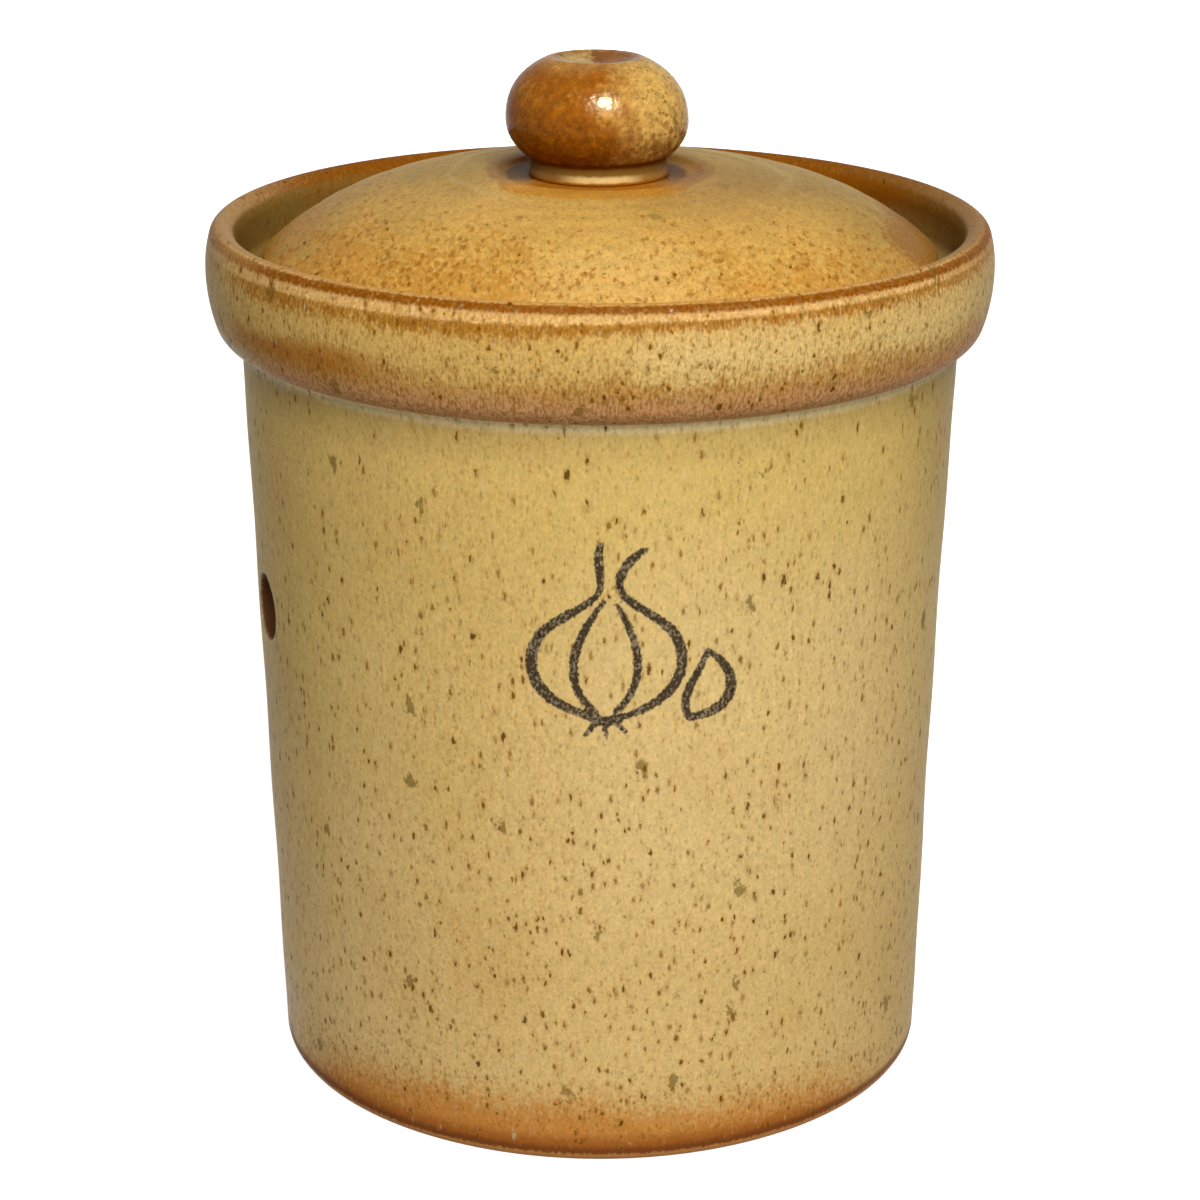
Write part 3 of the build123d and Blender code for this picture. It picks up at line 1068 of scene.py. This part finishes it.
# %% Ink of the drawing
ink_edge = glaze.mark("ink") + glaze.noise(0.55, 1, 3, 30) * 0.4
ink = fade(ink_edge, 0.14, -0.16) * fade(glaze.noise(0.4, 1, 2, 31), -0.62, -0.3)
ink_grain = fade(glaze.noise(0.45, 1, 2, 32) + glaze.noise(3, 1, 2, 33) * 0.4, -0.02, 0.32)
colour = glaze.mix(ink * 0.94, colour, glaze.mix(ink_grain * 0.75, (40, 31, 28), (146, 128, 102)))

# %% [markdown]
# ## Gloss
#
# A glaze mirrors most where it is seen at a slant. In a white room that would turn every edge of
# the pot white, and a real glaze, all pores and specks, is duller there. So the specular level is
# very low, which takes the slanting reflections away, and a straw tint warms what is left.

# %% Gloss of the jar
soft_gloss = {"Roughness": 0.42, "Specular_IOR_Level": 0.02, "Specular_Tint": (0.8, 0.64, 0.36, 1)}
relief = glaze.noise(0.6, 1.4, 2, 40) * 0.012 + glaze.noise(4, 1.5, 2, 41) * 0.03
glaze.fire(jar, Base_Color=colour, Normal=glaze.bump(relief), **soft_gloss)

# %% [markdown]
# ## The lid's glaze
#
# The same glaze, but it lies on a dome and doesn't run. The flame reached the front and the left
# of its rim and turned them rusty. Round the knob, where it was stuck on and sponged, there is a
# ring of rust, and in the moat behind the knob its shadow is painted in dark brown. The sides and
# the right of the dome are painted darker as shade, and the front has a painted sheen.

# %% Lid glaze
glaze = Finish("lid_straw_glaze", creep=0.45)
radius = glaze.radius
curds = glaze.noise(0.75, 1, 3, 61)
drips = glaze.noise(2.6, 1, 3, 60)
clouds = glaze.noise(18, 1, 3, 62)

# Darker away from the front of the lid, towards its sides and back: painted shade.
away = fade(glaze.toward(FRONT - 5) + clouds * 0.7, 0.8, 0)
flame = glaze.toward(FRONT - 35) * 7 + clouds * 12
rust = fade(radius + flame, 32, 58) * 0.62
# A paler patch at the front of the dome: thicker glaze, with a painted sheen on it.
thick_and_lit = fade(glaze.toward(FRONT + 4), 0.93, 0.995) * fade(radius + drips * 4, 36, 43)
# Darker on the right of the dome: painted shade.
shaded_right_dome = fade(glaze.toward(FRONT + 52), 0.6, 0.95) * fade(radius + drips * 3, 42, 24)
right_rim = fade(glaze.toward(RIGHT - 2), 0.9, 0.99) * fade(radius + drips * 2, 41, 50)
spiral = glaze.noise(9, 1, 1, 66) * 4 + radius
right_curl = band(spiral, 29, 30.5, 0.8) * fade(glaze.toward(RIGHT + 38), 0.2, 0.9)
left_curl = band(spiral, 24, 25, 0.8) * fade(glaze.toward(LEFT), 0.2, 0.9)

# round the knob
near_knob = radius + curds + drips * 1.2
ring_front = fade(glaze.toward(FRONT - 5) + clouds * 0.3, 0.45, 0.9)
ring_end = ring_front * 3.5 + 19.5
ring = fade(near_knob, ring_end, ring_end - 2.2) * (ring_front * 0.2 + 0.8)
ring_glaze = glaze.mix(ring_front, (152, 104, 44), (206, 140, 48))
# Dark brown in the moat behind the knob: painted shadow of the knob.
moat_shadow_end = 15.6 - fade(glaze.toward(RIGHT), 0, 0.8) * 1.3
moat_shadow = fade(radius + curds * 0.6, moat_shadow_end, moat_shadow_end - 1)
moat_shadow = moat_shadow * fade(glaze.toward(FRONT) + curds * 0.3, 0.6, 0.15)
colour = glaze.layered(
    (212, 166, 84),
    (away, (170, 136, 64)),
    (curdled(rust, curds * 0.8 + drips * 0.5) * 0.75, (192, 130, 44)),
    (thick_and_lit * 0.55, (222, 180, 104)),
    (shaded_right_dome * 0.5, (160, 120, 58)),
    (curdled(right_rim, curds * 0.6) * 0.8, (148, 100, 34)),
    ((right_curl + left_curl) * 0.35, (204, 178, 116)),
    (curdled(ring, curds * 0.6) * 0.85, ring_glaze),
    (fade(near_knob, 17.6, 15.6) * ring_front * 0.9, (168, 98, 10)),
    (moat_shadow * 0.85, (84, 48, 6)),
)

# %% Spots and grain of the lid
crowd = glaze.noise(10, 1, 2, 64) * 0.4 + rust * 1.1 + 0.02
colour = peppered(glaze, colour, 260, 1, crowd, crowd * 0.5, fleck=0.5, blotch=0.3)
dashes = glaze.spots(1.25, 0.85, rust * 1.3, 1, 290, 1.3)
colour = glaze.mix(fade(dashes, -0.2, 0.5) * 0.65, colour, (158, 96, 24))
colour = grainy(glaze, colour, 70, 1, grain=0.32, mottle=0.22)
under_rim = fade(glaze.height + curds * 0.3, ledge_height + 1.0, ledge_height + 0.5)
colour = glaze.mix(under_rim, colour, bare_clay)
relief = glaze.noise(0.7, 1, 2, 72) * 0.014 + glaze.noise(4, 1, 2, 73) * 0.04
glaze.fire(lid, Base_Color=colour, Normal=glaze.bump(relief), **soft_gloss)

# %% [markdown]
# ## The knob's glaze
#
# The knob caught the most flame: amber on one side, ochre on the other, and glossy, with the
# fine orange-peel skin of a glaze that was thick when it froze. Dark pores sit in the hollows
# of that skin, so the pores and the relief come from the same noise. The specular level is as
# low as on the jar, and the tint above one gives back the bright golden shine that a glossy
# glaze has where it is seen straight on.

# %% Knob glaze
glaze = Finish("knob_amber_glaze")
height = glaze.height
clouds = glaze.noise(8, 1, 3, 80)
skin = glaze.noise(0.8, 1, 2, 88)
curds = glaze.noise(1.1, 1, 4, 82)

# lines at heights above the table, in millimetres
side = fade(glaze.toward(RIGHT) + clouds * 0.8 + curds * 0.6, -0.1, 0.7)
high = fade(height + clouds * 1.5 + curds, 163.8, 166)
# Darker brown on the lower half of the ball: painted shade under the ball.
veil_and_under_shade = fade(height + clouds * 6, 162, 150) * (0.95 - side * 0.16)
ochre = fade(clouds, -0.1, 0.5) * 0.7
pores = fade(skin + curds * 0.5, 0.1, 0.5)
marks = glaze.spots(1.2, 0.6, side * 0.7 + 0.1, 0.7, 84, 1.1) + fade(height, 160, 152) * 0.3
in_dimple = fade(glaze.radius + curds * 1.4, dimple_radius + 0.4, dimple_radius - 1.4)
in_dimple = in_dimple * fade(height, 162, 163)
# Inside the dimple, pale on the left and dark red-brown on the right: painted light and shade of the
# hollow.
dimple_shaded_side = fade(glaze.toward(RIGHT + 30) + curds * 0.5, 0, 0.4)
dimple_light_and_shade = glaze.mix(dimple_shaded_side, (190, 158, 94), (124, 70, 28))

neck_end = neck_top[1]
line = height + curds * 0.2
# The neck: a light line low down at the front, and darker above it under the ball: painted light and
# shade.
neck_light_and_shade = glaze.layered(
    (146, 104, 44),
    (fade(glaze.toward(FRONT + 2), 0.76, 1), (220, 186, 118)),
    (fade(line, knob_seat + 1.2, knob_seat + 1.8), (124, 86, 30)),
)
colour = glaze.layered(
    (152, 86, 8),
    (side, (210, 166, 86)),
    (high * 0.55, (186, 140, 72)),
    (curdled(veil_and_under_shade, curds * 1.3) * 0.7, (114, 62, 6)),
    (curdled(ochre, curds * 1.2) * 0.45, (196, 134, 42)),
    (pores * (0.38 - side * 0.25), (104, 56, 6)),
    (fade(marks, -0.1, 0.5) * 0.65, (116, 70, 14)),
    (in_dimple * 0.85, dimple_light_and_shade),
    (fade(line, neck_end + 0.3, neck_end - 0.4), neck_light_and_shade),
    # A dark brown ring where the ball meets the neck: painted shade under the ball.
    (band(line, neck_end - 0.1, neck_end + 0.9, 0.3) * 0.9, (100, 50, 6)),
    (fade(line, knob_seat + 0.75, knob_seat + 0.35), (150, 86, 12)),
)
grain = fade(line, neck_end - 0.4, neck_end + 0.4) * 0.75 + 0.25  # the neck is smoother
shades = glaze.noise(0.5, 1, 3, 86) * 0.45 + glaze.noise(1.5, 1, 3, 87) * 0.6
glaze.fire(
    knob,
    Base_Color=glaze.times(colour, shades * grain + 1),
    Normal=glaze.bump(skin * 0.04 * grain + curds * 0.014),
    Roughness=0.2,
    Specular_IOR_Level=0.02,
    Specular_Tint=(7, 6, 4, 1),
)

# %% [markdown]
# ## Camera
#
# A long lens from a little above the rim, so that the collar and the lid both show and the jar's
# sides stay upright.

# %% Camera
camera_place = np.array([-148.6, -462.8, 243.5])
camera_target = np.array([0, 0, 75.42])
camera = bpy.data.objects.new("camera", bpy.data.cameras.new("camera"))
bpy.context.scene.collection.objects.link(camera)
camera.location = camera_place * MM
camera.rotation_euler = Vector(camera_target - camera_place).to_track_quat("-Z", "Y").to_euler()
camera.data.lens = 92.47
camera.data.sensor_width = 36
camera.data.clip_start = 0.01
bpy.context.scene.camera = camera

# %% [markdown]
# ## Floor and light
#
# One wide softbox from above the camera does the modelling, and the world fills the shadows. The
# small bright bulb in front of it only shows as the glint on the knob: it lights glossy rays and
# no matt ones. A low strip behind the jar lights its back and leaves the lid and the front alone;
# it is kept out of glossy rays, so that it draws no bright rims. The floor is a plain grey that
# glows for the camera only: it looks white and keeps the jar's shadow, and it throws no extra
# light on the jar. A Light Path node tells the camera's and the mirrors' rays from the others.


# %% Floor
def sheet_of_floor(half_width):
    """A flat grid of points (s, t, 0), for s and t from -half_width to half_width."""
    steps = np.linspace(-half_width, half_width, 3)
    x, y = np.meshgrid(steps, steps)
    here = np.arange(x.size).reshape(x.shape)
    faces = np.stack([here[:-1, :-1], here[:-1, 1:], here[1:, 1:], here[1:, :-1]], axis=-1)
    mesh = bpy.data.meshes.new("floor")
    mesh.from_pydata(np.stack([x, y, 0 * x], axis=-1).reshape(-1, 3), [], faces.reshape(-1, 4))
    floor = bpy.data.objects.new("floor", mesh)
    bpy.context.scene.collection.objects.link(floor)
    return floor


def seen_rays(nodes):
    """1 for camera, glossy and transmission rays, 0 for those that light a matt surface."""
    rays = nodes.new("ShaderNodeLightPath").outputs
    seen = Field(rays["Is Camera Ray"])
    return seen.over(Field(rays["Is Glossy Ray"])).over(Field(rays["Is Transmission Ray"]))


def between(nodes, value, low, high, start=0.0, end=1.0):
    """From low where the value is start to high where it is end, in a straight line."""
    node = nodes.new("ShaderNodeMapRange")
    ends = {"Value": value, "From Min": start, "From Max": end, "To Min": low, "To Max": high}
    for name, given in ends.items():
        plug(node.inputs[name], given)
    return Field(node.outputs["Result"])


floor = sheet_of_floor(6.0)
floor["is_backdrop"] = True
floor_paint = bpy.data.materials.new("floor_paint")
floor_paint.use_nodes = True
nodes = floor_paint.node_tree.nodes
away = nodes.new("ShaderNodeVectorMath")
away.operation = "LENGTH"
plug(away.inputs[0], Field(nodes.new("ShaderNodeTexCoord").outputs["Object"]))
glow = between(nodes, Field(away.outputs["Value"]), 0.92, 0.97, start=0.12, end=0.7)
floor_inputs = {
    "Base Color": (0.4, 0.4, 0.4, 1),
    "Roughness": 0.9,
    "Specular IOR Level": 0.0,
    "Emission Color": (1, 1, 1, 1),
    "Emission Strength": seen_rays(nodes) * glow,
}
for name, value in floor_inputs.items():
    plug(nodes["Principled BSDF"].inputs[name], value)
floor.data.materials.append(floor_paint)


# %% Lamps and world
jar_middle = Vector((0, 0, 0.08))  # the lamps face this point


def soft_lamp(name, width, height, watts, turn, rise, away):
    """An oval lamp, away metres from the jar and facing it, at a turn and a rise in degrees."""
    turn, rise = np.radians(turn), np.radians(rise)
    way = Vector((np.cos(turn) * np.cos(rise), np.sin(turn) * np.cos(rise), np.sin(rise)))
    lamp = bpy.data.objects.new(name, bpy.data.lights.new(name, "AREA"))
    bpy.context.scene.collection.objects.link(lamp)
    lamp.location = way * away + jar_middle
    lamp.rotation_euler = way.to_track_quat("Z", "Y").to_euler()
    lamp.data.shape = "ELLIPSE"
    lamp.data.size = width
    lamp.data.size_y = height
    lamp.data.energy = watts
    return lamp


soft_lamp("softbox", 0.85, 0.8, watts=16.0, turn=-97, rise=42, away=1.2)
glint = soft_lamp("glint", 0.34, 0.34, watts=66.0, turn=-94, rise=48, away=1.16)
glint.visible_diffuse = False
back_strip = soft_lamp("back_strip", 0.5, 0.14, watts=16.0, turn=BACK, rise=3, away=1.4)
back_strip.visible_glossy = False

world = bpy.data.worlds.new("studio")
bpy.context.scene.world = world
world.use_nodes = True
background = world.node_tree.nodes["Background"]
background.inputs["Color"].default_value = (1, 1, 1, 1)
nodes = world.node_tree.nodes
plug(background.inputs["Strength"], between(nodes, seen_rays(nodes), 0.09, 1.0))
bpy.context.scene.view_settings.view_transform = "Standard"

# %% [markdown]
# ## Measure and finish
#
# The dressed pot has to stay inside the frame's own box, so both boxes are written down.

# %% Measure and finish
boxes = {"cad": cad_box, "visual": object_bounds()}
for name, (low, high) in boxes.items():
    print(name, "box in mm:", [round((top - bottom) / MM, 2) for bottom, top in zip(low, high)])
